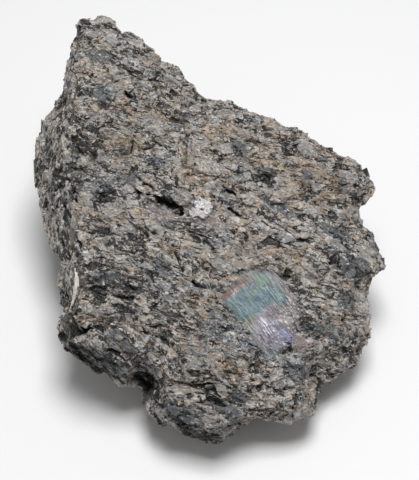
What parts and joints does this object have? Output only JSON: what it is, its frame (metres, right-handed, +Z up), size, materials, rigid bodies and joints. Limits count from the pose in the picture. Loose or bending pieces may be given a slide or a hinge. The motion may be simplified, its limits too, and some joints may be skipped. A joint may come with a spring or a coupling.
{
  "type": "rough labradorite chunk",
  "caption": "Rough broken chunk of grey feldspar rock with a peaked far end, ledged upper face and one iridescent cleavage face; rests on its flat underside.",
  "frame": {"origin": "bottom centre of the chunk's box, on the surface it rests on", "axes": "+Z up, +Y along the length toward the high peaked end, +X across the broad face to the right"},
  "size_m": [0.0796, 0.0984, 0.0433],
  "materials": {
    "stone": "rough broken crystalline rock, mixed dark to light grey with tan weathered edges, dull with small glints"
  },
  "bodies": {
    "root": {"labradorite_chunk": "stone"}
  },
  "joints": []
}
